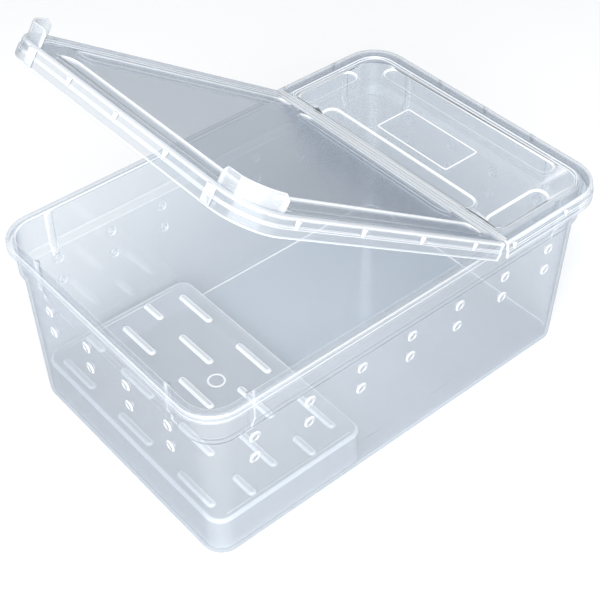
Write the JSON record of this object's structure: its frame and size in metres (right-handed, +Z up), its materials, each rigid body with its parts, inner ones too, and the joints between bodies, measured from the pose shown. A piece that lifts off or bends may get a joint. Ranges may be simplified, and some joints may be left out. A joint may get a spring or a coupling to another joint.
{
  "type": "plastic pet keeper box",
  "caption": "Clear moulded pet keeper: tapered vented tub, lift-out ribbed platform and a cap lid with a living-hinge flap, shown standing open.",
  "frame": {"origin": "centre of the tub's flat underside, on the surface that it stands on", "axes": "+Z up; X along the length with the fixed half of the lid at +X and the open end of the flap at -X; Y across the width, parallel to the hinge line"},
  "size_m": [0.3197, 0.2156, 0.2652],
  "materials": {
    "tub_clear": "clear moulded polypropylene, slightly blue, glossy",
    "platform_clear": "clear moulded polypropylene, slightly blue, satin on the deck",
    "lid_clear": "milky clear moulded polypropylene, slightly blue, glossy",
    "hinge_film": "thin worked polypropylene film, whitened by flexing"
  },
  "bodies": {
    "tub": {"tub": "tub_clear"},
    "platform": {"platform": "platform_clear"},
    "lid": {"lid_fixed_half": "lid_clear", "living_hinge": "hinge_film"},
    "flap": {"lid_flap": "lid_clear"}
  },
  "joints": [
    {"name": "platform_lift", "type": "slide", "parent": "tub", "child": "platform", "axis": [0, 0, 1], "range_m": [0, 0.09]},
    {"name": "lid_lift", "type": "slide", "parent": "tub", "child": "lid", "axis": [0, 0, 1], "range_m": [0, 0.04]},
    {"name": "flap_hinge", "type": "hinge", "parent": "lid", "child": "flap", "pos_m": [0.066, 0, 0.1339], "axis": [0, 1, 0], "range_deg": [-33.5, 136.5]}
  ]
}
